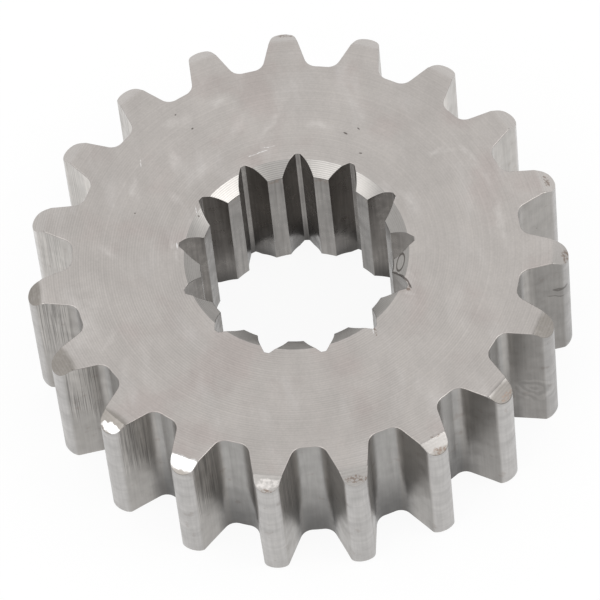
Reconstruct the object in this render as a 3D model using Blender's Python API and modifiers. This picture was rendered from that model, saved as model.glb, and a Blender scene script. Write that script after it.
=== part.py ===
"""Driving sprocket for an inverted-tooth chain: one piece of steel with a splined bore.

Metres, +Z up. The wheel lies on its flat face with its axis on Z, and the origin is on that
axis, half way through the wheel's width. The middle of one tooth points along -Y.

The ring of chain teeth is one flat curve, extruded to the wheel's width with its edges broken.
The splined bore is cut through it with a core of the grooves' section. A turned blank then
trims the chamfer on the tooth tips and the countersink at each end of the bore.
"""
import math

import bmesh
import bpy

# Chain teeth
TEETH = 19
CHAIN_PITCH = 0.009525
TIP_ALLOWANCE = 0.00061       # added to the diameter that the pitch gives
TOOTH_DEPTH = 0.00492
FLANK_LEAN = math.radians(15)  # each flank, from the tooth's middle line
CREST_WIDTH = 0.00252
CREST_RISE = 0.00058
ROOT_FILLET = 0.00137

# Wheel
WIDTH = 0.0174
EDGE_BREAK = 0.00012          # along the teeth's edges on both faces
TIP_CHAMFER = 0.00156         # radial width on the upper face
LOWER_TIP_CHAMFER = 0.00072
TIP_CHAMFER_ANGLE = math.radians(34)

# Splined bore
SPLINES = 13
SPLINE_MODULE = 0.00175
SPLINE_PRESSURE_ANGLE = math.radians(35)
SPLINE_SPACE = 0.00234        # width of a groove at the pitch circle
SPLINE_RISE = 0.001075        # from the pitch circle in to the lands
SPLINE_DROP = 0.001225        # from the pitch circle out to the groove's root
BORE_CHAMFER = 0.00168
BORE_CHAMFER_ANGLE = math.radians(31.5)

# Fineness of the round stretches
CREST_STEPS = 6
FILLET_STEPS = 6
ROOT_STEPS = 3
LAND_STEPS = 4
SPLINE_FLANK_STEPS = 7
TURNED_STEPS = TEETH * SPLINES
OVERRUN = 0.0008              # how far the blank and the core run past what they cut
WELD = 1e-6
CREASE = math.radians(24)     # a sharper bend than this stays a crisp edge

FIRST_TOOTH = -math.pi / 2
TIP_RADIUS = (CHAIN_PITCH / math.tan(math.pi / TEETH) + TIP_ALLOWANCE) / 2
ROOT_RADIUS = TIP_RADIUS - TOOTH_DEPTH
PITCH_RADIUS = SPLINE_MODULE * SPLINES / 2
MINOR_RADIUS = PITCH_RADIUS - SPLINE_RISE
MAJOR_RADIUS = PITCH_RADIUS + SPLINE_DROP
# From the middle of the tooth on -Y to the nearest groove. With this lead one gap between the
# teeth lies exactly over a groove, so the wheel has a mirror plane there.
SPLINE_LEAD = math.pi / (TEETH * SPLINES)
STEEL = (0.47, 0.44, 0.41, 1.0)


def polar(radius, angle):
    return radius * math.cos(angle), radius * math.sin(angle)


def arc(centre, radius, start, end, steps):
    """Points on an arc, both ends included."""
    points = []
    for i in range(steps + 1):
        x, y = polar(radius, start + (end - start) * i / steps)
        points.append((centre[0] + x, centre[1] + y))
    return points


def half_tooth():
    """One side of a tooth that points along +X, from the middle of the gap to the crest."""
    half_pitch = math.pi / TEETH
    corner = (TIP_RADIUS - CREST_RISE, CREST_WIDTH / 2)
    normal = (math.sin(FLANK_LEAN), math.cos(FLANK_LEAN))
    inward = (-math.cos(FLANK_LEAN), math.sin(FLANK_LEAN))

    # The fillet is never larger than the one that touches both flanks of the gap.
    gap = polar(1, half_pitch)
    across = gap[0] * normal[0] + gap[1] * normal[1]
    reach = corner[0] * normal[0] + corner[1] * normal[1]
    fillet = min(ROOT_FILLET, (ROOT_RADIUS * across - reach) / (1 - across))

    # Its centre lies one fillet radius from the flank and from the root circle.
    offset = (corner[0] + fillet * normal[0], corner[1] + fillet * normal[1])
    along = offset[0] * inward[0] + offset[1] * inward[1]
    centre_radius = ROOT_RADIUS + fillet
    travel = -along - math.sqrt(along ** 2 + centre_radius ** 2 - math.hypot(*offset) ** 2)
    centre = (offset[0] + travel * inward[0], offset[1] + travel * inward[1])
    foot = math.atan2(centre[1], centre[0])

    root = arc((0, 0), ROOT_RADIUS, half_pitch, foot, ROOT_STEPS)[:-1]
    bend = arc(centre, fillet, foot - math.pi, -math.pi / 2 - FLANK_LEAN, FILLET_STEPS)
    crest_radius = (CREST_RISE ** 2 + (CREST_WIDTH / 2) ** 2) / (2 * CREST_RISE)
    crest_end = math.asin(CREST_WIDTH / 2 / crest_radius)
    crest = arc((TIP_RADIUS - crest_radius, 0), crest_radius, crest_end, 0, CREST_STEPS)
    return root + bend + crest


def involute(angle):
    return math.tan(angle) - angle


def half_groove():
    """One side of a spline groove that points along +X, from the middle of the land to the root."""
    base_radius = PITCH_RADIUS * math.cos(SPLINE_PRESSURE_ANGLE)

    def half_angle(radius):
        closing = involute(math.acos(base_radius / radius)) - involute(SPLINE_PRESSURE_ANGLE)
        return SPLINE_SPACE / 2 / PITCH_RADIUS - closing

    land = arc((0, 0), MINOR_RADIUS, math.pi / SPLINES, half_angle(MINOR_RADIUS), LAND_STEPS)
    flank = []
    for i in range(1, SPLINE_FLANK_STEPS + 1):
        radius = MINOR_RADIUS + (MAJOR_RADIUS - MINOR_RADIUS) * i / SPLINE_FLANK_STEPS
        flank.append(polar(radius, half_angle(radius)))
    return land + flank + [(MAJOR_RADIUS, 0)]


def ring(half, count, first):
    """Mirrors half a tooth or groove and repeats it round the axis, as one closed outline."""
    whole = half + [(x, -y) for x, y in reversed(half[1:-1])]
    outline = []
    for k in range(count):
        c, s = polar(1, first - 2 * math.pi * k / count)
        outline += [(x * c - y * s, x * s + y * c) for x, y in whole]
    return outline


def extruded(name, outline, thickness, edge_break, collection):
    """A solid of the outline's section, with a chamfer of edge_break round both its faces."""
    curve = bpy.data.curves.new(name + "_outline", "CURVE")
    curve.dimensions = "2D"
    curve.fill_mode = "BOTH"
    curve.extrude = thickness / 2 - edge_break
    curve.bevel_depth = edge_break
    curve.bevel_resolution = 0
    curve.offset = -edge_break
    spline = curve.splines.new("POLY")
    spline.points.add(len(outline) - 1)
    for point, (x, y) in zip(spline.points, outline):
        point.co = (x, y, 0, 1)
    spline.use_cyclic_u = True
    drawing = bpy.data.objects.new(name + "_outline", curve)
    collection.objects.link(drawing)

    depsgraph = bpy.context.evaluated_depsgraph_get()
    mesh = bpy.data.meshes.new_from_object(drawing.evaluated_get(depsgraph))
    mesh.name = name
    bm = bmesh.new()
    bm.from_mesh(mesh)
    bmesh.ops.remove_doubles(bm, verts=bm.verts, dist=WELD)
    bmesh.ops.recalc_face_normals(bm, faces=bm.faces)
    bm.to_mesh(mesh)
    bm.free()

    solid = bpy.data.objects.new(name, mesh)
    solid.matrix_world = drawing.matrix_world
    collection.objects.link(solid)
    bpy.data.objects.remove(drawing)
    return solid


def turned_blank(collection):
    """A ring that stands clear of the wheel's faces and carries its tip and bore chamfers."""
    half = WIDTH / 2
    tip_slope = math.tan(TIP_CHAMFER_ANGLE)
    bore_slope = math.tan(BORE_CHAMFER_ANGLE)
    bore = [
        (MINOR_RADIUS - OVERRUN, half - (BORE_CHAMFER + OVERRUN) * bore_slope),
        (MINOR_RADIUS + BORE_CHAMFER + OVERRUN / bore_slope, half + OVERRUN),
    ]
    tip = [
        (TIP_RADIUS - TIP_CHAMFER - OVERRUN / tip_slope, half + OVERRUN),
        (TIP_RADIUS + OVERRUN, half - (TIP_CHAMFER + OVERRUN) * tip_slope),
        (TIP_RADIUS + OVERRUN, -half + (LOWER_TIP_CHAMFER + OVERRUN) * tip_slope),
        (TIP_RADIUS - LOWER_TIP_CHAMFER - OVERRUN / tip_slope, -half - OVERRUN),
    ]
    profile = bore + tip + [(r, -z) for r, z in reversed(bore)]
    edges = [(i, (i + 1) % len(profile)) for i in range(len(profile))]
    mesh = bpy.data.meshes.new("turned_blank")
    mesh.from_pydata([(r, 0, z) for r, z in profile], edges, [])
    blank = bpy.data.objects.new("turned_blank", mesh)
    collection.objects.link(blank)
    turn = blank.modifiers.new("Turn", "SCREW")
    turn.axis = "Z"
    turn.steps = TURNED_STEPS
    turn.render_steps = TURNED_STEPS
    turn.use_merge_vertices = True
    turn.merge_threshold = WELD
    turn.use_normal_calculate = True
    return blank


def cut(solid, name, operation, cutter):
    modifier = solid.modifiers.new(name, "BOOLEAN")
    modifier.operation = operation
    modifier.solver = "EXACT"
    modifier.object = cutter
    cutter.display_type = "WIRE"
    cutter.hide_render = True


def steel():
    material = bpy.data.materials.new("bright_steel")
    material.use_nodes = True
    shader = material.node_tree.nodes["Principled BSDF"]
    shader.inputs["Base Color"].default_value = STEEL
    shader.inputs["Metallic"].default_value = 1.0
    shader.inputs["Roughness"].default_value = 0.38
    return material


def build():
    for old in list(bpy.data.objects):
        bpy.data.objects.remove(old)
    parts = bpy.data.collections.new("sprocket")
    cutters = bpy.data.collections.new("sprocket_cutters")
    for collection in (parts, cutters):
        bpy.context.scene.collection.children.link(collection)

    teeth = ring(half_tooth(), TEETH, FIRST_TOOTH)
    grooves = ring(half_groove(), SPLINES, FIRST_TOOTH + SPLINE_LEAD)
    sprocket = extruded("sprocket", teeth, WIDTH, EDGE_BREAK, parts)
    core = extruded("spline_core", grooves, WIDTH + 2 * OVERRUN, 0, cutters)
    cut(sprocket, "Splined bore", "DIFFERENCE", core)
    cut(sprocket, "Turned chamfers", "INTERSECT", turned_blank(cutters))
    sprocket.data.materials.append(steel())
    sprocket.data.shade_smooth()
    sprocket.data.set_sharp_from_angle(angle=CREASE)


build()
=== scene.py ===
"""Looks for the chain sprocket: its finer steel mesh, the floor, the light and the camera.

Metres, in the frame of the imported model: the axis is Z, the origin is half way through the
wheel's width, and the middle of one tooth points along -Y.

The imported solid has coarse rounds. One finer mesh of the same form stands for it, made from the
same values. Each point of the tooth outline and of the bore outline carries a column of points
down the wheel's side, with a small rounding at both faces, and the two faces are filled in
between the columns. Every vertex carries the normal of the true surface.
"""
import math

import bpy
from mathutils import Matrix, Vector
from mathutils.geometry import delaunay_2d_cdt

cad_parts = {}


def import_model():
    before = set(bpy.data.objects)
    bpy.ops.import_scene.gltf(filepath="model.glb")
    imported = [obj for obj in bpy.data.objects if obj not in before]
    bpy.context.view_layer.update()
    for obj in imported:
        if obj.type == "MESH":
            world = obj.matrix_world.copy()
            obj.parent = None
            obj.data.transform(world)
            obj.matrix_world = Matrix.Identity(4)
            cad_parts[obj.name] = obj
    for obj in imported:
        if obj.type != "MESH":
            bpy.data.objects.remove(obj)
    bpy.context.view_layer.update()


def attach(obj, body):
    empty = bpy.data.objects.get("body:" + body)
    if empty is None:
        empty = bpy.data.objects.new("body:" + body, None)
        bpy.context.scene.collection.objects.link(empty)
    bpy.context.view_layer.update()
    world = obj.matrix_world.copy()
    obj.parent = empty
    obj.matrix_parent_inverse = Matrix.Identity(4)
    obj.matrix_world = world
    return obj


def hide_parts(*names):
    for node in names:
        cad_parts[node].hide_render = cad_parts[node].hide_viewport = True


# Chain teeth, as in the CAD source
TEETH = 19
CHAIN_PITCH = 0.009525
TIP_ALLOWANCE = 0.00061
TIP_TRIM = 0.000004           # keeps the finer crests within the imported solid's box
TIP_RADIUS = (CHAIN_PITCH / math.tan(math.pi / TEETH) + TIP_ALLOWANCE) / 2 - TIP_TRIM
TOOTH_DEPTH = 0.00492
FLANK_LEAN = math.radians(15)
CREST_WIDTH = 0.00252
CREST_RISE = 0.00058
ROOT_FILLET = 0.00137
TIP_CHAMFER = 0.00156
LOWER_TIP_CHAMFER = 0.00072
TIP_CHAMFER_ANGLE = math.radians(34)
FIRST_TOOTH = -math.pi / 2

# Splined bore, as in the CAD source
SPLINES = 13
PITCH_RADIUS = 0.011375
MINOR_RADIUS = 0.0103
MAJOR_RADIUS = 0.0126
SPLINE_PRESSURE_ANGLE = math.radians(35)
SPLINE_SPACE = 0.00234
SPLINE_LEAD = math.pi / (TEETH * SPLINES)
BORE_CHAMFER = 0.00168
BORE_CHAMFER_ANGLE = math.radians(31.5)

# Wheel
WIDTH = 0.0174
HALF = WIDTH / 2
ROOT_RADIUS = TIP_RADIUS - TOOTH_DEPTH
TIP_FACE = TIP_RADIUS - TIP_CHAMFER
LOWER_TIP_FACE = TIP_RADIUS - LOWER_TIP_CHAMFER
BORE_FACE = MINOR_RADIUS + BORE_CHAMFER

# Small roundings
TOOTH_EDGE = 0.00010          # between a face and the side of the teeth
TIP_EDGE = 0.00006            # the same, on the chamfered tips
TIP_EDGE_RATE = 3             # the tip's rounding holds from a third of the way over its chamfer
BORE_EDGE = 0.00006
CREST_CORNER = 0.00036        # length taken off either side of a corner in the outline
SPLINE_CORNER = 0.00007
GROOVE_CORNER = 0.000035
RIDGE = 0.00006               # half the width of the rounding where a cone meets a face

# Fineness
CREST_STEPS = 8
FILLET_STEPS = 9
ROOT_STEPS = 5
FLANK_STEPS = 6
LAND_STEPS = 6
SPLINE_STEPS = 12
GROOVE_ROOT_STEPS = 2
CORNER_STEPS = 4
EDGE_STEPS = 3
SIDE_STEPS = 8
CELL = 0.0011                 # between the points that fill a face
RIDGE_CELL = 0.00014          # the same, along the start of a cone
CIRCLE_GAP = 0.8              # between the circles of these points, as a share of CELL
RIDGE_CLEAR = CELL / 3        # from such a circle to the start of a cone
OUTLINE_CLEAR = 0.2           # from such a point to an outline, as a share of its spacing
NUDGE = 1e-6                  # the step that finds which way a curve runs
TINY = 1e-12                  # keeps a division clear of zero
MERGE = 1e-6                  # mm under which two points of a face are one
MM = 1000.0

# Places of the three steels in the mesh's list of materials
FACE_SLOT, TOOTH_SLOT, SPLINE_SLOT = 0, 1, 2

# Steel, as linear colours
FACE_STEEL = (0.475, 0.446, 0.424)
FACE_WARM = (0.452, 0.411, 0.391)
FACE_PALE = (0.545, 0.518, 0.500)
TIP_STEEL = (0.405, 0.387, 0.370)
# TIP_PALE is painted light: the tip chamfers turn paler towards the back
TIP_PALE = (0.52, 0.492, 0.47)
# Stain and painted shade on the tip chamfers, darkened against the lamps' light
TIP_STAIN_AND_SHADE = (0.292, 0.271, 0.249)
# Painted shade on a tip chamfer at the front right
TIP_PAINTED_SHADE = (0.205, 0.192, 0.178)
BORE_CONE_STEEL = (0.415, 0.398, 0.38)
CREST_STEEL = (0.465, 0.452, 0.44)
FLANK_STEEL = (0.372, 0.356, 0.338)
ROOT_STEEL = (0.355, 0.346, 0.334)
LAND_STEEL = (0.262, 0.250, 0.238)
GROOVE_STEEL = (0.200, 0.186, 0.173)
# Bright wear and scratches, and the painted highlight of worn tips and of glints
BRIGHT_WEAR_AND_HIGHLIGHT = (0.79, 0.78, 0.77)
# Pale rubbing, and painted light on the left of the face
PALE_RUB_AND_LIGHT = (0.70, 0.67, 0.645)
STAIN_BROWN = (0.215, 0.165, 0.135)
PIT_DARK = (0.085, 0.073, 0.065)

# Zones between which a look comes in, as radii in mm
TIP_RIDGE = TIP_FACE * MM
BORE_RIDGE = BORE_FACE * MM
TIP_ZONE = (TIP_RIDGE - 0.05, TIP_RIDGE + 0.05)
SOFT_TIP_ZONE = (TIP_RIDGE - 0.35, TIP_RIDGE + 0.15)
WORN_TIP_ZONE = (TIP_RIDGE - 0.75, TIP_RIDGE - 0.35)
CONE_ZONE = (BORE_RIDGE - 0.05, BORE_RIDGE + 0.05)
CREST_ZONE = (27.97, 28.44)
ROOT_ZONE = (24.05, 24.27)
WORN_FLANK_ZONE = (24.65, 25.3)
# Where the painted shade at the foot of the gaps fades out
SHADED_FOOT_ZONE = (24.45, 26.2)
# Zones of the painted shade at the front right and the painted light at the back
SHADED_FLANK_ZONE = (24.8, 25.5)
BACK_FILLET_ZONE = (25.0, 26.3)
LAND_ZONE = (10.33, 10.39)
GROOVE_ROOT_ZONE = (12.50, 12.55)

# The same, as heights in mm
BROKEN_EDGE = (HALF * MM - 0.05, HALF * MM - 0.01)
UPPER_SIDE = (4.0, 4.5)
WORN_HEIGHT = (2, 6)
GAP_FOOT = (-HALF * MM, 3.0)
GROOVE_FOOT = (-HALF * MM, -2.5)
STAINED_BAND = (6.4, 7.3)

# The same, along X for left and right, and along Y for front and back, in mm
PALE_TIPS_Y = (-9, -1)
FRONT_CONE_Y = (-11, -8.5)
SIDE_CONES_X = (8.6, 10.4)
WORN_TEETH_Y = (-2, 8)
# Where the teeth at the front right get painted shade
SHADED_TEETH_X = (2, 13)
SHADED_TEETH_Y = (-6, -1)
SHADED_CRESTS_X = (17, 25)
SHADED_CRESTS_Y = (-8, -2)
# Where the teeth at the back get painted light
BACK_TEETH_Y = (5, 11)
SIDE_LANDS_X = (5.0, 8.0)
CLEAR_RINGS = (-10, 14)       # along a line that leans to the right
CLEAR_LEAN = 0.8

# Tones, as factors on a colour
# EDGE_TONE is painted shade on the roundings at the face edges, damping their highlight
EDGE_TONE = 0.80
# Painted highlight on the front of the bore's chamfer, painted shade on its left and right
FRONT_CONE_TONE = 1.55
SIDE_CONE_TONE = 0.84
# Painted shade on flanks and crests at the front right, painted light on the back teeth
SHADED_FLANK_TONE = 0.74
SHADED_CREST_TONE = 0.80
BACK_FLANK_TONE = 1.38
BACK_FILLET_TONE = 1.78
# Painted shade at the foot of the gaps between the teeth
GAP_FOOT_TONE = 0.36
# Painted shade at the foot of the bore's grooves, and on the lands at its left and right
GROOVE_FOOT_TONE = 0.30
SIDE_LAND_TONE = 0.84
STREAK_TONES = (0.66, 1.28)
SMEAR_TONES = (0.90, 1.09)

# How far a mark covers the steel
PALE_COVER = 0.55
DOT_COVER = 0.5
PIT_COVER = 0.8
SIDE_STAIN_COVER = 0.7
SIDE_NICK_COVER = 0.7
GLINT_COVER = 0.5
LAND_STAIN_COVER = 0.5
BORE_PIT_COVER = 0.6
GROOVE_ROOT_COVER = 0.6

# Gloss, and the height of the bumps in mm
FACE_ROUGHNESS = 0.36
CONE_ROUGHNESS = 0.30
WORN_ROUGHNESS = 0.7          # a share of the roughness around it
TOOTH_ROUGHNESS = (0.30, 0.42)
BORE_ROUGHNESS = (0.26, 0.38)
FACE_BUMP = 0.0016
GRAIN_BUMP = 0.4              # of the grain, as a share of the rings'
SIDE_BUMP = 0.004

# Turned rings
TURNING_FEED = 0.27           # mm between the rings on the faces
CONE_FEED = 0.19              # the same, on the bore's chamfer
RING_DRIFT = 3.0              # how far the rings wander, in radians
FRONT_RINGS = 0.11            # how dark the rings are at the front of the face
BACK_RINGS = 0.045
CONE_RINGS = 0.34

# How marks and noises fade
MARK_END = 1.1                # where a mark is gone, as a share of its size
SPECK_CORE = 0.6
SWIRL_CORE = 0.45
SPECK_CUT = 0.01
NOISE_SPAN = (0.25, 0.75)
NOISE_MIDDLE = (0.5, 0.5, 0.5)
WORN_RAGGED = 0.9             # mm by which noise shifts the start of a worn patch
WEAR_RAGGED = 9.0             # mm by which noise shifts the foot of a flank's wear
BURR_WIDTH = 0.18             # of the loop's line, as a share of the loop

# How far noise moves a tone, either way
BANDS = 0.025
GRAIN = 0.04
SLOW_CLOUDS = 0.03
MOTTLE = 0.045
SIDE_STREAKS = 0.055
CROSS_MARKS = 0.06
SIDE_CLOUDS = 0.06
BORE_STREAKS = 0.14
BORE_CLOUDS = 0.10

# Marks on the upper face, of use and of painted light and shade: x and y of the middle, turn in
# degrees, half length and half width, in mm
# Worn tip chamfers: real wear, painted near white as the highlight they catch
WORN_HIGHLIGHT_PATCHES = [
    (-16.9, -21.9, -38, 1.8, 0.80),
    (-23.45, -15.75, -50, 1.35, 0.42),
]
PALE_PATCHES = [
    (-8.9, -26.5, -16, 1.3, 0.42),
]
RUBS_AND_PAINTED_LIGHT = [
    (-21.5, -5.6, 50, 2.2, 0.65),
    (10.5, -8.0, -20, 0.9, 0.35),
    (11.4, -6.1, -75, 1.1, 0.30),
    (-12.4, 3.6, -94, 2.2, 0.45),
    # A large pale patch on the left of the face: painted light
    (-23.5, -2.0, 80, 7.0, 3.2),
    (-8.0, 12.5, 40, 2.6, 0.8),
    (13.2, 3.2, -70, 2.8, 0.8),
    (-3.8, 21.0, 30, 1.9, 0.9),
    (-8.6, 19.5, 7, 1.9, 1.0),
    (1.1, 17.1, 50, 4.2, 0.6),
    (-2.8, 17.4, 48, 3.0, 0.7),
    (20.6, 7.2, -70, 4.6, 0.6),
    (21.9, -1.5, -93, 4.8, 0.6),
    (17.7, 8.8, -5, 2.0, 0.8),
    (6.0, 15.1, -25, 2.0, 0.8),
    (-10.2, 14.6, 93, 2.4, 0.6),
    (-14.9, 12.5, 90, 2.4, 0.6),
    (-19.4, 5.0, -57, 2.4, 0.7),
    (-10.8, 9.8, -52, 1.8, 0.6),
]
# Darkened tip chamfers: partly stain, partly painted shade
STAINED_AND_SHADED_TIPS = [
    (-28.6, -7.3, -76, 4.0, 2.9),
    (-24.6, -16.5, -56, 4.0, 2.9),
    (-17.9, -23.4, -37, 4.0, 1.05),
    (10.2, -28.0, 20, 4.0, 1.5),
    (24.4, -16.3, 56, 4.0, 2.3),
    (-29.6, 2.6, 85, 4.0, 2.4),
]
# Painted shade on a tip chamfer at the front right
TIPS_IN_PAINTED_SHADE = [
    (18.1, -23.3, 38, 4.0, 2.4),
]
BRIGHT_SCRATCHES = [
    (-1.2, 13.4, 8, 1.3, 0.06),
    (0.1, 13.9, -4, 0.8, 0.05),
    (-13.7, 15.4, -97, 0.6, 0.05),
    (-12.1, 4.1, -94, 0.5, 0.07),
    (-9.2, 8.1, -92, 0.5, 0.06),
    (5.75, -11.35, -93, 0.6, 0.07),
    (11.6, 4.3, -56, 0.35, 0.06),
]
BROWN_STAINS = [
    (9.1, -25.6, -11, 0.55, 0.2),
    (9.9, -27.2, -10, 1.4, 0.6),
    (17.6, -22.3, 38, 0.9, 0.28),
    (-9.2, -27.3, -16, 1.1, 0.35),
    (0.1, -28.2, -8, 1.2, 0.35),
    (5.2, 28.0, -10, 1.2, 0.5),
    (10.5, -7.4, 0, 0.22, 0.22),
    (6.0, -11.7, -93, 0.6, 0.12),
    (10.7, -7.35, -90, 0.4, 0.14),
    (27.9, 2.3, 90, 0.8, 0.35),
    (27.7, -7.3, 76, 1.0, 0.5),
]
BURR_LINES = [
    (9.7, -3.5, -105, 0.8, 0.10),
    (9.65, -4.6, -58, 0.55, 0.16),
    (10.1, -5.3, -56, 0.60, 0.15),
    (10.5, -6.1, -62, 0.60, 0.13),
    (10.75, -6.9, -80, 0.50, 0.11),
    (9.9, -6.9, -30, 0.55, 0.07),
]
BURR_LOOP = (10.5, -3.6, -112, 1.05, 0.40)
DARK_PITS = [
    (-8.8, 20.5, 30, 0.13, 0.08),
    (-7.4, 18.3, 37, 0.15, 0.09),
    (-15.6, 9.3, 0, 0.10, 0.08),
    (8.4, 13.5, -40, 0.26, 0.10),
    (9.4, 10.6, -15, 0.2, 0.09),
    (9.9, 13.7, -53, 0.2, 0.07),
]

# A dried smear and a curly scratch, each on one tooth's flank: the middle and how far it reaches
SMEAR = (21.9, -16.1, -2.6)
SMEAR_REACH = 3.2
CURLY_SCRATCH = (26.45, -8.2, 3.0)
CURLY_REACH = 1.7

# Camera
CAMERA_TURN = math.radians(-96.956)
CAMERA_RISE = math.radians(58.0395)
CAMERA_ROLL = math.radians(-6.6061)
CAMERA_DISTANCE = 0.682247
CAMERA_LENS = 381.731
AIM_RIGHT = -0.00014391
AIM_UP = -0.00039276
SENSOR_WIDTH = 36
CLIP_START, CLIP_END = 0.01, 20

# Floor, world and lamps
FLOOR_SIZE = 8.0
FLOOR_WHITE = (0.97, 0.97, 0.97, 1)
FLOOR_SHOWS = 0.92            # how much of the floor's white is seen whatever its light
WORLD_LIGHT = 0.85
# Softboxes: compass angle and height above the floor in degrees, distance and side in metres,
# and power in watts
SOFTBOXES = {
    "left_box": (203, 50, 0.55, 0.40, 0.60),
    "right_box": (-28, 50, 0.60, 0.30, 0.70),
}


def polar(radius, angle):
    return radius * math.cos(angle), radius * math.sin(angle)


# Outlines: runs of (x, y, normal x, normal y), where the normal points away from the steel
def arc_run(centre, radius, start, end, steps, side=1):
    """An arc with both ends; side is -1 where the steel lies outside the arc."""
    run = []
    for i in range(steps + 1):
        c, s = polar(1, start + (end - start) * i / steps)
        run.append((centre[0] + radius * c, centre[1] + radius * s, side * c, side * s))
    return run


def line_run(start, end, normal, steps):
    """A straight run with both ends."""
    run = []
    for i in range(steps + 1):
        share = i / steps
        x = start[0] + (end[0] - start[0]) * share
        y = start[1] + (end[1] - start[1]) * share
        run.append((x, y, *normal))
    return run


def shortened(run, cut):
    """The run without the last stretch, of length cut."""
    kept = list(run)
    while True:
        step = math.dist(kept[-2][:2], kept[-1][:2])
        if step > cut:
            share = cut / step
            kept[-1] = tuple(a + (b - a) * share for a, b in zip(kept[-1], kept[-2]))
            return kept
        cut -= step
        kept.pop()


def corner_join(first, second, cut):
    """Two runs that meet at a corner, with a small rounding there."""
    corner = first[-1][:2]
    before = shortened(first, cut)
    after = shortened(second[::-1], cut)[::-1]
    a, b = before[-1], after[0]
    bend = []
    for i in range(1, CORNER_STEPS):
        t = i / CORNER_STEPS
        x, y = ((1 - t) ** 2 * a[k] + 2 * t * (1 - t) * corner[k] + t ** 2 * b[k] for k in (0, 1))
        normal = Vector((a[2] * (1 - t) + b[2] * t, a[3] * (1 - t) + b[3] * t)).normalized()
        bend.append((x, y, *normal))
    return before + bend + after


def half_tooth():
    """One side of a tooth that points along +X, from the middle of the gap to the crest."""
    half_pitch = math.pi / TEETH
    corner = (TIP_RADIUS - CREST_RISE, CREST_WIDTH / 2)
    normal = (math.sin(FLANK_LEAN), math.cos(FLANK_LEAN))
    inward = (-math.cos(FLANK_LEAN), math.sin(FLANK_LEAN))

    # The fillet is never larger than the one that touches both flanks of the gap.
    gap = polar(1, half_pitch)
    across = gap[0] * normal[0] + gap[1] * normal[1]
    reach = corner[0] * normal[0] + corner[1] * normal[1]
    fillet = min(ROOT_FILLET, (ROOT_RADIUS * across - reach) / (1 - across))

    # Its centre lies one fillet radius from the flank and from the root circle.
    offset = (corner[0] + fillet * normal[0], corner[1] + fillet * normal[1])
    along = offset[0] * inward[0] + offset[1] * inward[1]
    centre_radius = ROOT_RADIUS + fillet
    travel = -along - math.sqrt(along ** 2 + centre_radius ** 2 - math.hypot(*offset) ** 2)
    centre = (offset[0] + travel * inward[0], offset[1] + travel * inward[1])
    foot = math.atan2(centre[1], centre[0])

    root = arc_run((0, 0), ROOT_RADIUS, half_pitch, foot, ROOT_STEPS)[:-1]
    bend = arc_run(centre, fillet, foot - math.pi, -math.pi / 2 - FLANK_LEAN, FILLET_STEPS, -1)
    flank = line_run(bend[-1][:2], corner, normal, FLANK_STEPS)
    crest_radius = (CREST_RISE ** 2 + (CREST_WIDTH / 2) ** 2) / (2 * CREST_RISE)
    crest_end = math.asin(CREST_WIDTH / 2 / crest_radius)
    crest = arc_run((TIP_RADIUS - crest_radius, 0), crest_radius, crest_end, 0, CREST_STEPS)
    return root + bend[:-1] + corner_join(flank, crest, CREST_CORNER)


def involute(angle):
    return math.tan(angle) - angle


def groove_point(radius):
    """A point on the flank of a spline groove that points along +X."""
    base_radius = PITCH_RADIUS * math.cos(SPLINE_PRESSURE_ANGLE)
    closing = involute(math.acos(base_radius / radius)) - involute(SPLINE_PRESSURE_ANGLE)
    return polar(radius, SPLINE_SPACE / 2 / PITCH_RADIUS - closing)


def half_groove():
    """One side of a spline groove that points along +X, from the middle of the land to the root."""
    flank = []
    for i in range(SPLINE_STEPS + 1):
        radius = MINOR_RADIUS + (MAJOR_RADIUS - MINOR_RADIUS) * i / SPLINE_STEPS
        here, ahead = groove_point(radius), groove_point(radius + NUDGE)
        slope = Vector((ahead[1] - here[1], here[0] - ahead[0])).normalized()
        flank.append((*here, *(-slope if slope.y > 0 else slope)))
    start = math.atan2(flank[0][1], flank[0][0])
    land = arc_run((0, 0), MINOR_RADIUS, math.pi / SPLINES, start, LAND_STEPS, -1)
    root = line_run(flank[-1][:2], (MAJOR_RADIUS, 0), (-1, 0), GROOVE_ROOT_STEPS)
    return corner_join(corner_join(land, flank, SPLINE_CORNER), root, GROOVE_CORNER)


def ring(half, count, first):
    """Mirrors half a tooth or groove and repeats it round the axis, as one closed outline."""
    whole = half + [(x, -y, u, -v) for x, y, u, v in reversed(half[1:-1])]
    outline = []
    for k in range(count):
        c, s = polar(1, first - 2 * math.pi * k / count)
        for x, y, u, v in whole:
            outline.append((x * c - y * s, x * s + y * c, u * c - v * s, u * s + v * c))
    return outline


# The wheel's faces: flat, with cones on the tooth tips and one round the bore
def eased(distance):
    """(height, slope) of a ramp that starts with a small rounding where distance is 0."""
    if distance < -RIDGE:
        return 0.0, 0.0
    if distance > RIDGE:
        return distance, 1.0
    return (distance + RIDGE) ** 2 / (4 * RIDGE), (distance + RIDGE) / (2 * RIDGE)


def cones(radius, side):
    """Each cone as (distance past its start, slope); side is -1 for the lower face."""
    tip_face = TIP_FACE if side > 0 else LOWER_TIP_FACE
    tip = (radius - tip_face, math.tan(TIP_CHAMFER_ANGLE))
    bore = (BORE_FACE - radius, -math.tan(BORE_CHAMFER_ANGLE))
    return tip, bore


def face_at(x, y, side):
    """(height, normal) of a face over a point, as if that face looked up."""
    radius = math.hypot(x, y)
    height, lean = HALF, 0.0
    for distance, slope in cones(radius, side):
        drop, share = eased(distance)
        height -= abs(slope) * drop
        lean += slope * share
    return height, Vector((lean * x / radius, lean * y / radius, 1)).normalized()


def tooth_edge(x, y):
    """The rounding at the face edge: full on flanks and roots, small on the chamfered tips."""
    past = (math.hypot(x, y) - TIP_FACE) / (TIP_RADIUS - TIP_FACE)
    share = min(1, max(0, past * TIP_EDGE_RATE))
    return TOOTH_EDGE + (TIP_EDGE - TOOTH_EDGE) * share


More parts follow.
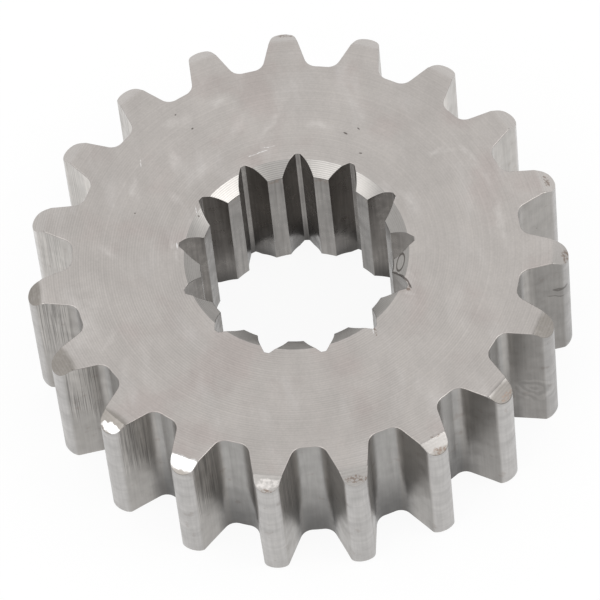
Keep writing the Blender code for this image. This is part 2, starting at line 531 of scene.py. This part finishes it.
def bore_edge(x, y):
    """The rounding at the face edge of the bore, which is the same all round."""
    return BORE_EDGE


def rounding(x, y, u, v, edge, side):
    """Points and normals from a face round its edge to the wheel's side."""
    points = []
    for k in range(EDGE_STEPS, -1, -1):
        turn = math.pi / 2 * k / EDGE_STEPS
        inset = edge * (1 - math.cos(turn))
        px, py = x - u * inset, y - v * inset
        height, normal = face_at(px, py, side)
        point = Vector((px, py, side * (height - edge * (1 - math.sin(turn)))))
        facing = (Vector((u, v, 0)) * math.cos(turn) + normal * math.sin(turn)).normalized()
        points.append((point, Vector((facing.x, facing.y, side * facing.z))))
    return points


def column(x, y, u, v, edge):
    """Points and normals down the wheel's side, from the upper face to the lower one."""
    upper = rounding(x, y, u, v, edge, 1)
    lower = rounding(x, y, u, v, edge, -1)[::-1]
    top, bottom = upper[-1][0].z, lower[0][0].z
    side = []
    for k in range(1, SIDE_STEPS):
        z = top + (bottom - top) * k / SIDE_STEPS
        side.append((Vector((x, y, z)), Vector((u, v, 0))))
    return upper + side + lower


def inside(rim, bore, x, y, margin):
    """True where a point lies on the steel, at least margin away from both outlines."""
    radius, angle = math.hypot(x, y), math.atan2(y, x)
    return bore(angle) + margin < radius < rim(angle) - margin


def radius_by_angle(points):
    """A lookup of an outline's radius at any angle; both outlines are seen whole from the axis."""
    known = sorted((math.atan2(y, x), math.hypot(x, y)) for x, y in points)
    known = [(known[-1][0] - 2 * math.pi, known[-1][1])] + known
    known.append((known[1][0] + 2 * math.pi, known[1][1]))
    angles = [a for a, _ in known]

    def radius(angle):
        low, high = 0, len(angles) - 1
        while high - low > 1:
            middle = (low + high) // 2
            if angles[middle] <= angle:
                low = middle
            else:
                high = middle
        share = (angle - angles[low]) / max(angles[high] - angles[low], TINY)
        return known[low][1] + (known[high][1] - known[low][1]) * share

    return radius


def filling(rim, bore):
    """Points between the outlines, on circles; the ridges of both cones get closer ones."""
    ridges = (TIP_FACE, LOWER_TIP_FACE, BORE_FACE)
    circles = []
    for ridge in ridges:
        circles += [(ridge + shift, RIDGE_CELL) for shift in (-RIDGE, 0, RIDGE)]
    radius = MINOR_RADIUS + CELL / 2
    while radius < TIP_RADIUS:
        if min(abs(radius - ridge) for ridge in ridges) > RIDGE_CLEAR:
            circles.append((radius, CELL))
        radius += CELL * CIRCLE_GAP
    points = []
    for number, (radius, spacing) in enumerate(circles):
        count = int(2 * math.pi * radius / spacing)
        for i in range(count):
            x, y = polar(radius, 2 * math.pi * (i + number % 2 / 2) / count)
            if inside(rim, bore, x, y, spacing * OUTLINE_CLEAR):
                points.append((x, y))
    return points


def face_triangles(rim_edge, bore_rim):
    """Points that fill the face, and triangles over rim points, bore points and these."""
    rim = radius_by_angle(rim_edge)
    bore = radius_by_angle(bore_rim)
    added = filling(rim, bore)
    points = [Vector(p) * MM for p in rim_edge + bore_rim + added]
    first, second = len(rim_edge), len(bore_rim)
    edges = [(i, (i + 1) % first) for i in range(first)]
    edges += [(first + i, first + (i + 1) % second) for i in range(second)]
    out, _, faces, origin, _, _ = delaunay_2d_cdt(points, edges, [], 0, MERGE)
    index = [o[0] if o else None for o in origin]
    kept = []
    for face in faces:
        x = sum(out[i].x for i in face) / 3 / MM
        y = sum(out[i].y for i in face) / 3 / MM
        corners = [index[i] for i in face]
        if None not in corners and inside(rim, bore, x, y, 0):
            kept.append(corners)
    return added, kept


def sprocket_mesh():
    """The whole wheel as one closed mesh, with the true surface's normals."""
    teeth = ring(half_tooth(), TEETH, FIRST_TOOTH)
    grooves = ring(half_groove(), SPLINES, FIRST_TOOTH + SPLINE_LEAD)
    vertices, normals, faces, materials = [], [], [], []

    def add(point, normal):
        vertices.append(point)
        normals.append(normal)
        return len(vertices) - 1

    def wall(outline, edge_size, material, flip):
        columns = []
        for x, y, u, v in outline:
            columns.append([add(p, n) for p, n in column(x, y, u, v, edge_size(x, y))])
        for i, here in enumerate(columns):
            ahead = columns[(i + 1) % len(columns)]
            for k in range(len(here) - 1):
                quad = (here[k], here[k + 1], ahead[k + 1], ahead[k])
                faces.append(quad[::-1] if flip else quad)
                at_edge = k < EDGE_STEPS or k >= len(here) - 1 - EDGE_STEPS
                materials.append(FACE_SLOT if at_edge else material)
        return [c[0] for c in columns], [c[-1] for c in columns]

    rim_upper, rim_lower = wall(teeth, tooth_edge, TOOTH_SLOT, True)
    bore_upper, bore_lower = wall(grooves, bore_edge, SPLINE_SLOT, False)
    flat = [tuple(vertices[i].xy) for i in rim_upper + bore_upper]
    added, triangles = face_triangles(flat[:len(rim_upper)], flat[len(rim_upper):])
    for side, ends in ((1, rim_upper + bore_upper), (-1, rim_lower + bore_lower)):
        index = list(ends)
        for x, y in added:
            height, normal = face_at(x, y, side)
            facing = Vector((normal.x, normal.y, side * normal.z))
            index.append(add(Vector((x, y, side * height)), facing))
        for corners in triangles:
            order = corners if side > 0 else corners[::-1]
            faces.append(tuple(index[i] for i in order))
            materials.append(FACE_SLOT)

    mesh = bpy.data.meshes.new("sprocket_steel")
    mesh.from_pydata(vertices, [], faces)
    mesh.polygons.foreach_set("material_index", materials)
    mesh.shade_smooth()
    mesh.normals_split_custom_set_from_vertices(normals)
    return mesh


class Steel:
    """A steel's shader, with short ways to add nodes; a value is a number or a node's output."""

    def __init__(self, name):
        self.material = bpy.data.materials.new(name)
        self.material.use_nodes = True
        self.tree = self.material.node_tree
        self.shader = self.tree.nodes["Principled BSDF"]
        self.shader.inputs["Metallic"].default_value = 1.0
        metres = self.tree.nodes.new("ShaderNodeTexCoord").outputs["Object"]
        self.place = self.vector("SCALE", metres, factor=MM)
        split = self.tree.nodes.new("ShaderNodeSeparateXYZ")
        self.put(split.inputs[0], self.place)
        self.x, self.y, self.z = split.outputs
        self.flat = self.vector("MULTIPLY", self.place, (1, 1, 0))
        self.radius = self.vector("LENGTH", self.flat)

    def put(self, socket, value):
        """Links a node's output to a socket, or sets the socket to a number or colour."""
        if isinstance(value, bpy.types.NodeSocket):
            self.tree.links.new(value, socket)
        else:
            socket.default_value = value

    def maths(self, operation, *values):
        node = self.tree.nodes.new("ShaderNodeMath")
        node.operation = operation
        for socket, value in zip(node.inputs, values):
            self.put(socket, value)
        return node.outputs[0]

    def product(self, first, *others):
        for other in others:
            first = self.maths("MULTIPLY", first, other)
        return first

    def highest(self, first, *others):
        for other in others:
            first = self.maths("MAXIMUM", first, other)
        return first

    def vector(self, operation, first, second=None, factor=None):
        node = self.tree.nodes.new("ShaderNodeVectorMath")
        node.operation = operation
        self.put(node.inputs[0], first)
        if second is not None:
            self.put(node.inputs[1], second)
        if factor is not None:
            self.put(node.inputs["Scale"], factor)
        return node.outputs["Value" if operation == "LENGTH" else "Vector"]

    def step(self, value, low, high, below=0.0, above=1.0):
        """Runs smoothly from below to above while the value runs from low to high."""
        node = self.tree.nodes.new("ShaderNodeMapRange")
        node.interpolation_type = "SMOOTHSTEP"
        numbers = (value, low, high, below, above)
        for name, number in zip(("Value", "From Min", "From Max", "To Min", "To Max"), numbers):
            self.put(node.inputs[name], number)
        return node.outputs["Result"]

    def blend(self, share, without, within):
        """Runs smoothly from one value to the other while the share runs from 0 to 1."""
        return self.step(share, 0, 1, without, within)

    def outside(self, share):
        """1 where the share is 0, and the other way round."""
        return self.blend(share, 1, 0)

    def upper(self):
        """1 on the upper face and 0 on the lower one."""
        return self.step(self.z, *UPPER_SIDE)

    def noise(self, scale, stretch=(1, 1, 1), detail=2.0, output="Fac"):
        """Cloudy noise with scale features a millimetre; a small stretch makes them longer."""
        node = self.tree.nodes.new("ShaderNodeTexNoise")
        self.put(node.inputs["Vector"], self.vector("MULTIPLY", self.place, stretch))
        node.inputs["Scale"].default_value = scale
        node.inputs["Detail"].default_value = detail
        return node.outputs[output]

    def noise_along(self, value, scale, detail=2.0):
        """Noise that changes along one value only."""
        node = self.tree.nodes.new("ShaderNodeTexNoise")
        node.noise_dimensions = "1D"
        self.put(node.inputs["W"], value)
        node.inputs["Scale"].default_value = scale
        node.inputs["Detail"].default_value = detail
        return node.outputs["Fac"]

    def vary(self, noise, amount):
        """A factor round 1 that follows the noise."""
        return self.step(noise, *NOISE_SPAN, 1 - amount, 1 + amount)

    def specks(self, scale, size, share, stretch=(1, 1, 1)):
        """1 inside small round specks; only the given share of the cells holds one."""
        node = self.tree.nodes.new("ShaderNodeTexVoronoi")
        self.put(node.inputs["Vector"], self.vector("MULTIPLY", self.place, stretch))
        node.inputs["Scale"].default_value = scale
        chosen = self.step(node.outputs["Color"], share, share + SPECK_CUT, 1, 0)
        near = self.step(node.outputs["Distance"], size * SPECK_CORE, size, 1, 0)
        return self.product(near, chosen)

    def mix(self, share, under, over):
        """The colour over laid on the colour under, as far as the share says."""
        node = self.tree.nodes.new("ShaderNodeMix")
        node.data_type = "RGBA"
        colours = [s for s in node.inputs if s.type == "RGBA"]
        self.put(node.inputs[0], share)
        for socket, colour in zip(colours, (under, over)):
            self.put(socket, (*colour, 1) if isinstance(colour, tuple) else colour)
        return next(s for s in node.outputs if s.type == "RGBA")

    def marks(self, places, ragged=0.0, scale=3.0, fade=0.75):
        """1 inside the listed marks of the upper face, with edges as ragged as asked, in mm.

        fade is the share of a mark that is whole: outside it the mark thins out.
        """
        spot = self.flat
        if ragged:
            clouds = self.noise(scale, detail=4.0, output="Color")
            wander = self.vector("SUBTRACT", clouds, NOISE_MIDDLE)
            spot = self.vector("ADD", spot, self.vector("SCALE", wander, factor=2 * ragged))
            spot = self.vector("MULTIPLY", spot, (1, 1, 0))
        found = [self.step(self.reach(spot, place), fade, MARK_END, 1, 0) for place in places]
        return self.product(self.highest(0.0, *found), self.upper())

    def reach(self, spot, place):
        """How far a spot lies from the middle of a mark, where 1 is on the mark's edge."""
        x, y, turn, length, width = place
        node = self.tree.nodes.new("ShaderNodeMapping")
        node.vector_type = "TEXTURE"
        self.put(node.inputs["Vector"], spot)
        node.inputs["Location"].default_value = (x, y, 0)
        node.inputs["Rotation"].default_value = (0, 0, math.radians(turn))
        node.inputs["Scale"].default_value = (length, width, 1)
        return self.vector("LENGTH", node.outputs[0])

    def swirls(self, place, reach, scale, twist):
        """Twisted rings, from 0 to 1, and how far a spot is within reach of their middle."""
        spot = self.vector("SUBTRACT", self.place, place)
        node = self.tree.nodes.new("ShaderNodeTexWave")
        node.wave_type = "RINGS"
        node.rings_direction = "SPHERICAL"
        self.put(node.inputs["Vector"], spot)
        node.inputs["Scale"].default_value = scale
        node.inputs["Distortion"].default_value = twist
        node.inputs["Detail"].default_value = 3.0
        near = self.step(self.vector("LENGTH", spot), reach * SWIRL_CORE, reach, 1, 0)
        return node.outputs["Fac"], near

    def loop(self, place, width):
        """1 along the edge of a mark of the upper face; width is a share of the mark's own."""
        off = self.maths("SUBTRACT", self.reach(self.flat, place), 1.0)
        near = self.step(self.maths("ABSOLUTE", off), width / 2, width, 1, 0)
        return self.product(near, self.upper())

    def finish(self, colour, tone, roughness, height, depth):
        """Sets the shader: tone multiplies the colour, and depth is the bump's height in mm."""
        self.put(self.shader.inputs["Base Color"], self.vector("SCALE", colour, factor=tone))
        self.put(self.shader.inputs["Roughness"], roughness)
        bump = self.tree.nodes.new("ShaderNodeBump")
        bump.inputs["Distance"].default_value = depth / MM
        self.put(bump.inputs["Height"], height)
        self.put(self.shader.inputs["Normal"], bump.outputs["Normal"])
        return self.material


def turned_rings(steel, feed):
    """Fine rings from a turning tool, as a height from 0 to 1."""
    drift = steel.product(steel.noise_along(steel.radius, 0.8), RING_DRIFT)
    phase = steel.maths("MULTIPLY_ADD", steel.radius, 2 * math.pi / feed, drift)
    return steel.maths("MULTIPLY_ADD", steel.maths("SINE", phase), 0.5, 0.5)


def face_colour(steel, cone):
    """The clean steel of the faces, the tips and the bore's chamfer, with its pale clouds."""
    clouds = steel.noise(0.16, detail=4.0)
    streaks = steel.noise(0.35, (1.0, 0.35, 1.0), detail=5.0)
    pale = steel.product(steel.step(streaks, 0.52, 0.74), PALE_COVER)
    # Painted light: the tip chamfers turn paler towards the back
    tip = steel.mix(steel.step(steel.y, *PALE_TIPS_Y), TIP_STEEL, TIP_PALE)
    colour = steel.mix(steel.step(clouds, 0.48, 0.68), FACE_STEEL, FACE_WARM)
    colour = steel.mix(pale, colour, FACE_PALE)
    colour = steel.mix(cone, colour, BORE_CONE_STEEL)
    return steel.mix(steel.step(steel.radius, *SOFT_TIP_ZONE), colour, tip)


def face_marks(steel, colour):
    """The colour with marks of use and painted light and shade, and where the face is worn bright.
    """
    noise = steel.noise(1.2, detail=4.0)
    start = steel.maths("MULTIPLY_ADD", noise, -WORN_RAGGED, steel.radius)
    # Worn patches: real wear with lower roughness, painted bright as a highlight
    worn = steel.product(steel.marks(WORN_HIGHLIGHT_PATCHES, ragged=0.42, scale=1.6),
                         steel.step(start, *WORN_TIP_ZONE))
    rubbed = steel.product(steel.marks(PALE_PATCHES, ragged=0.5, scale=1.2),
                           steel.step(steel.noise(2.5, detail=4.0), 0.34, 0.60, 0.15, 0.75))
    # Soft pale rubs, and one large patch of painted light on the left
    soft = steel.product(steel.marks(RUBS_AND_PAINTED_LIGHT, ragged=1.1, scale=0.45, fade=0.0),
                         steel.step(steel.noise(0.9, detail=5.0), 0.3, 0.7, 0.10, 0.38))
    # Stains and painted shade on some tip chamfers
    stain_and_shade = steel.product(steel.marks(STAINED_AND_SHADED_TIPS, ragged=0.12, scale=1.0, fade=0.85),
                            steel.step(steel.noise(2.0, detail=5.0), 0.3, 0.55, 0.8, 1.0))
    # Painted shade on a tip chamfer at the front right
    shaded_tip = steel.marks(TIPS_IN_PAINTED_SHADE, ragged=0.12, scale=1.0, fade=0.8)
    scratches = steel.product(steel.marks(BRIGHT_SCRATCHES, ragged=0.10, scale=2.5),
                              steel.step(steel.noise(3.0), 0.40, 0.60, 0.25, 0.95))
    stains = steel.product(steel.marks(BROWN_STAINS, ragged=0.35, scale=2.0),
                           steel.step(steel.noise(4.0, detail=3.0), 0.42, 0.60, 0.05, 0.8))
    burrs = steel.highest(steel.marks(BURR_LINES, ragged=0.05), steel.loop(BURR_LOOP, BURR_WIDTH))
    pits = steel.highest(steel.marks(DARK_PITS, ragged=0.08), steel.specks(0.55, 0.07, 0.10))
    dots = steel.specks(0.8, 0.06, 0.07, (1.0, 1.0, 1.3))

    colour = steel.mix(stain_and_shade, colour, TIP_STAIN_AND_SHADE)
    colour = steel.mix(shaded_tip, colour, TIP_PAINTED_SHADE)
    colour = steel.mix(stains, colour, STAIN_BROWN)
    colour = steel.mix(steel.highest(rubbed, soft), colour, PALE_RUB_AND_LIGHT)
    colour = steel.mix(steel.highest(worn, scratches), colour, BRIGHT_WEAR_AND_HIGHLIGHT)
    colour = steel.mix(steel.product(dots, DOT_COVER), colour, BRIGHT_WEAR_AND_HIGHLIGHT)
    colour = steel.mix(steel.product(steel.highest(pits, burrs), PIT_COVER), colour, PIT_DARK)
    return colour, worn


def face_steel():
    """The turned faces, with their tip and bore chamfers and their broken edges."""
    steel = Steel("turned_steel")
    tips = steel.step(steel.radius, *TIP_ZONE)
    cone = steel.outside(steel.step(steel.radius, *CONE_ZONE))
    lowered = steel.outside(steel.step(steel.maths("ABSOLUTE", steel.z), *BROKEN_EDGE))
    edge = steel.product(lowered, steel.outside(tips), steel.outside(cone))
    colour, worn = face_marks(steel, face_colour(steel, cone))

    rings = steel.blend(cone, turned_rings(steel, TURNING_FEED), turned_rings(steel, CONE_FEED))
    fade = steel.step(steel.noise(0.12, detail=2.0), 0.35, 0.65, 0.25, 1.0)
    leaning = steel.maths("MULTIPLY_ADD", steel.x, CLEAR_LEAN, steel.y)
    on_face = steel.step(leaning, *CLEAR_RINGS, FRONT_RINGS, BACK_RINGS)
    contrast = steel.blend(cone, on_face, CONE_RINGS)
    ring_tone = steel.maths("SUBTRACT", 1.0, steel.product(rings, fade, contrast))
    bands = steel.vary(steel.noise_along(steel.radius, 3.5, 3.0), BANDS)
    grain = steel.vary(steel.noise(5.0, detail=3.0), GRAIN)
    slow = steel.vary(steel.noise(0.09, detail=1.0), SLOW_CLOUDS)
    mottle = steel.vary(steel.noise(0.45, (1.0, 0.55, 1.0), detail=6.0), MOTTLE)
    # Painted highlight at the front of the bore's chamfer, painted shade at its sides
    cone_front_highlight = steel.step(steel.y, *FRONT_CONE_Y, FRONT_CONE_TONE, 1.0)
    cone_side_shade = steel.step(steel.maths("ABSOLUTE", steel.x), *SIDE_CONES_X, 1.0, SIDE_CONE_TONE)
    cone_painted_light = steel.blend(cone, 1.0, steel.product(cone_front_highlight, cone_side_shade))
    # Painted shade on the edge roundings
    edge_shade = steel.blend(edge, 1.0, EDGE_TONE)
    tone = steel.product(ring_tone, bands, grain, slow, mottle, edge_shade, cone_painted_light)

    roughness = steel.product(steel.blend(cone, FACE_ROUGHNESS, CONE_ROUGHNESS),
                              steel.blend(worn, 1.0, WORN_ROUGHNESS))
    height = steel.maths("ADD", rings, steel.product(grain, GRAIN_BUMP))
    return steel.finish(colour, tone, roughness, height, FACE_BUMP)


def worn_flanks(steel, crest):
    """The counter-clockwise flank of each tooth is worn, most of all near the upper face."""
    angle = steel.maths("ARCTAN2", steel.y, steel.x)
    turns = steel.maths("MULTIPLY_ADD", angle, TEETH / (2 * math.pi), TEETH / 4)
    offset = steel.maths("SUBTRACT", turns, steel.maths("ROUND", turns))
    noise = steel.noise(1.5, (1.0, 1.0, 0.01))
    reach = steel.maths("MULTIPLY_ADD", noise, WEAR_RAGGED, steel.z)
    return steel.product(
        steel.step(offset, 0.02, 0.10),
        steel.step(reach, *WORN_HEIGHT, 0.12, 1),
        steel.step(steel.radius, *WORN_FLANK_ZONE, 0.1, 1),
        steel.step(crest, 0, 0.6, 1, 0),
        steel.step(steel.y, *WORN_TEETH_Y, 1, 0.5),
    )


def painted_tooth_light(steel, crest):
    """Painted shade on flanks and crests at the front right, and painted light on the back teeth.
    """
    shaded_flanks = steel.product(
        steel.step(steel.x, *SHADED_TEETH_X),
        steel.outside(steel.step(steel.y, *SHADED_TEETH_Y)),
        steel.outside(crest),
        steel.step(steel.radius, *SHADED_FLANK_ZONE),
    )
    shaded_crests = steel.product(
        crest,
        steel.step(steel.x, *SHADED_CRESTS_X),
        steel.outside(steel.step(steel.y, *SHADED_CRESTS_Y)),
    )
    back = steel.step(steel.radius, *BACK_FILLET_ZONE, BACK_FILLET_TONE, BACK_FLANK_TONE)
    return steel.product(
        steel.blend(shaded_flanks, 1.0, SHADED_FLANK_TONE),
        steel.blend(shaded_crests, 1.0, SHADED_CREST_TONE),
        steel.step(steel.y, *BACK_TEETH_Y, 1.0, back),
    )


def tooth_steel():
    """The sides of the teeth: crests and roots lighter, flanks darker, with axial wear."""
    steel = Steel("cut_steel")
    crest = steel.step(steel.radius, *CREST_ZONE)
    root = steel.outside(steel.step(steel.radius, *ROOT_ZONE))
    colour = steel.mix(root, FLANK_STEEL, ROOT_STEEL)
    colour = steel.mix(crest, colour, CREST_STEEL)

    streak = steel.noise(8.5, (1.0, 1.0, 0.014), detail=3.0)
    streak_tone = steel.step(streak, 0.36, 0.62, *STREAK_TONES)
    streak_tone = steel.blend(worn_flanks(steel, crest), 1.0, streak_tone)
    faint = steel.vary(steel.noise(4.0, (1.0, 1.0, 0.05), detail=4.0), SIDE_STREAKS)
    cross = steel.vary(steel.noise_along(steel.z, 1.1, 2.0), CROSS_MARKS)
    cross = steel.blend(crest, 1.0, cross)
    clouds = steel.vary(steel.noise(0.5, detail=3.0), SIDE_CLOUDS)
    # Painted shade: darker towards the bottom of the gaps near their roots
    foot = steel.step(steel.z, *GAP_FOOT, GAP_FOOT_TONE, 1.0)
    foot = steel.step(steel.radius, *SHADED_FOOT_ZONE, foot, 1.0)
    smear, near_smear = steel.swirls(SMEAR, SMEAR_REACH, 0.26, 13.0)
    smear_tone = steel.blend(near_smear, 1.0, steel.step(smear, 0.1, 0.9, *SMEAR_TONES))
    # Painted shade at the front right and painted light at the back
    sides = painted_tooth_light(steel, crest)
    tone = steel.product(streak_tone, faint, cross, clouds, foot, smear_tone, sides)

    curls, near_curls = steel.swirls(CURLY_SCRATCH, CURLY_REACH, 0.16, 16.0)
    curl = steel.product(steel.step(curls, 0.02, 0.07, 0.8, 0), steel.step(near_curls, 0.2, 0.6))
    nicks = steel.highest(steel.specks(0.5, 0.06, 0.12, (1.0, 1.0, 0.8)), curl)
    # Painted glints: small specks of highlight colour on the teeth's sides
    glints = steel.specks(1.1, 0.05, 0.05, (1.0, 1.0, 0.4))
    stains = steel.step(steel.noise(0.8, detail=4.0), 0.62, 0.72, 0, 0.35)
    colour = steel.mix(steel.product(stains, SIDE_STAIN_COVER), colour, STAIN_BROWN)
    colour = steel.mix(steel.product(glints, GLINT_COVER), colour, BRIGHT_WEAR_AND_HIGHLIGHT)
    colour = steel.mix(steel.product(nicks, SIDE_NICK_COVER), colour, PIT_DARK)
    roughness = steel.step(steel.noise(0.7, detail=3.0), 0.3, 0.7, *TOOTH_ROUGHNESS)
    return steel.finish(colour, tone, roughness, streak, SIDE_BUMP)


def spline_steel():
    """The broached bore: dark groove flanks, and lighter lands and groove roots."""
    steel = Steel("broached_steel")
    land = steel.outside(steel.step(steel.radius, *LAND_ZONE))
    root = steel.product(steel.step(steel.radius, *GROOVE_ROOT_ZONE), GROOVE_ROOT_COVER)
    streak = steel.noise(4.0, (1.0, 1.0, 0.03), detail=5.0)
    clouds = steel.vary(steel.noise(0.6, (1.0, 1.0, 0.5), detail=4.0), BORE_CLOUDS)
    # Painted shade: grooves darker towards the bottom, lands darker at the left and right
    foot = steel.step(steel.z, *GROOVE_FOOT, GROOVE_FOOT_TONE, 1.0)
    side_lands = steel.step(steel.maths("ABSOLUTE", steel.x), *SIDE_LANDS_X, 1.0, SIDE_LAND_TONE)
    painted_shade = steel.blend(land, foot, side_lands)
    tone = steel.product(steel.vary(streak, BORE_STREAKS), clouds, painted_shade)

    pits = steel.specks(0.9, 0.08, 0.14)
    stains = steel.product(steel.step(steel.z, *STAINED_BAND), land,
                           steel.step(steel.noise(1.5, detail=4.0), 0.5, 0.62))
    colour = steel.mix(steel.highest(land, root), GROOVE_STEEL, LAND_STEEL)
    colour = steel.mix(steel.product(stains, LAND_STAIN_COVER), colour, STAIN_BROWN)
    colour = steel.mix(steel.product(pits, BORE_PIT_COVER), colour, PIT_DARK)
    roughness = steel.step(steel.noise(1.0, detail=3.0), 0.3, 0.7, *BORE_ROUGHNESS)
    return steel.finish(colour, tone, roughness, streak, SIDE_BUMP)


def camera():
    """A long lens from the front and above, turned a little about its own axis."""
    level = Vector((math.cos(CAMERA_TURN), math.sin(CAMERA_TURN), 0))
    back = level * math.cos(CAMERA_RISE) + Vector((0, 0, math.sin(CAMERA_RISE)))
    right = Vector((-level.y, level.x, 0))
    up = back.cross(right)
    rolled_right = right * math.cos(CAMERA_ROLL) + up * math.sin(CAMERA_ROLL)
    rolled_up = up * math.cos(CAMERA_ROLL) - right * math.sin(CAMERA_ROLL)
    aim = rolled_right * AIM_RIGHT + rolled_up * AIM_UP
    eye = back * CAMERA_DISTANCE
    backward = (eye - aim).normalized()
    x_axis = rolled_up.cross(backward).normalized()
    y_axis = backward.cross(x_axis)

    data = bpy.data.cameras.new("camera")
    data.lens = CAMERA_LENS
    data.sensor_width = SENSOR_WIDTH
    data.clip_start = CLIP_START
    data.clip_end = CLIP_END
    holder = bpy.data.objects.new("camera", data)
    bpy.context.scene.collection.objects.link(holder)
    facing = Matrix((x_axis, y_axis, backward)).transposed().to_4x4()
    holder.matrix_world = Matrix.Translation(eye) @ facing
    bpy.context.scene.camera = holder


def seen_ray(tree):
    """1 for rays from the camera, a gloss or a glass, and 0 for the light that falls on things."""
    path = tree.nodes.new("ShaderNodeLightPath")
    total = path.outputs["Is Camera Ray"]
    for name in ("Is Glossy Ray", "Is Transmission Ray"):
        either = tree.nodes.new("ShaderNodeMath")
        either.operation = "MAXIMUM"
        tree.links.new(total, either.inputs[0])
        tree.links.new(path.outputs[name], either.inputs[1])
        total = either.outputs[0]
    return total


def floor():
    """A large white table top under the wheel, which keeps the wheel's shadow."""
    mesh = bpy.data.meshes.new("floor")
    reach = FLOOR_SIZE / 2
    corners = [(-reach, -reach), (reach, -reach), (reach, reach), (-reach, reach)]
    mesh.from_pydata([(x, y, -HALF) for x, y in corners], [], [(0, 1, 2, 3)])
    plane = bpy.data.objects.new("floor", mesh)
    bpy.context.scene.collection.objects.link(plane)

    material = bpy.data.materials.new("white_floor")
    material.use_nodes = True
    tree = material.node_tree
    tree.nodes.clear()
    lit = tree.nodes.new("ShaderNodeBsdfDiffuse")
    lit.inputs["Color"].default_value = FLOOR_WHITE
    white = tree.nodes.new("ShaderNodeEmission")
    share = tree.nodes.new("ShaderNodeMath")
    share.operation = "MULTIPLY"
    share.inputs[1].default_value = FLOOR_SHOWS
    tree.links.new(seen_ray(tree), share.inputs[0])
    mix = tree.nodes.new("ShaderNodeMixShader")
    tree.links.new(share.outputs[0], mix.inputs[0])
    tree.links.new(lit.outputs[0], mix.inputs[1])
    tree.links.new(white.outputs[0], mix.inputs[2])
    end = tree.nodes.new("ShaderNodeOutputMaterial")
    tree.links.new(mix.outputs[0], end.inputs["Surface"])
    mesh.materials.append(material)


def world():
    """An even pale light all round, seen as plain white."""
    made = bpy.data.worlds.new("studio")
    bpy.context.scene.world = made
    made.use_nodes = True
    tree = made.node_tree
    background = tree.nodes["Background"]
    background.inputs["Color"].default_value = (1, 1, 1, 1)
    strength = tree.nodes.new("ShaderNodeMapRange")
    tree.links.new(seen_ray(tree), strength.inputs["Value"])
    strength.inputs["To Min"].default_value = WORLD_LIGHT
    strength.inputs["To Max"].default_value = 1.0
    tree.links.new(strength.outputs["Result"], background.inputs["Strength"])


def softboxes():
    """Two square lamps that face the wheel."""
    for name, (turn, rise, distance, side, power) in SOFTBOXES.items():
        data = bpy.data.lights.new(name, "AREA")
        data.shape = "SQUARE"
        data.size = side
        data.energy = power
        lamp = bpy.data.objects.new(name, data)
        bpy.context.scene.collection.objects.link(lamp)
        level = polar(math.cos(math.radians(rise)), math.radians(turn))
        away = Vector((*level, math.sin(math.radians(rise))))
        lamp.location = away * distance
        lamp.rotation_mode = "QUATERNION"
        lamp.rotation_quaternion = away.to_track_quat("Z", "Y")
        lamp.visible_camera = False


def main():
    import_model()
    mesh = sprocket_mesh()
    mesh.materials.append(face_steel())
    mesh.materials.append(tooth_steel())
    mesh.materials.append(spline_steel())
    piece = bpy.data.objects.new("sprocket_steel", mesh)
    bpy.context.scene.collection.objects.link(piece)
    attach(piece, "root")
    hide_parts("sprocket")

    floor()
    world()
    softboxes()
    camera()
    bpy.context.scene.view_settings.view_transform = "Standard"


main()
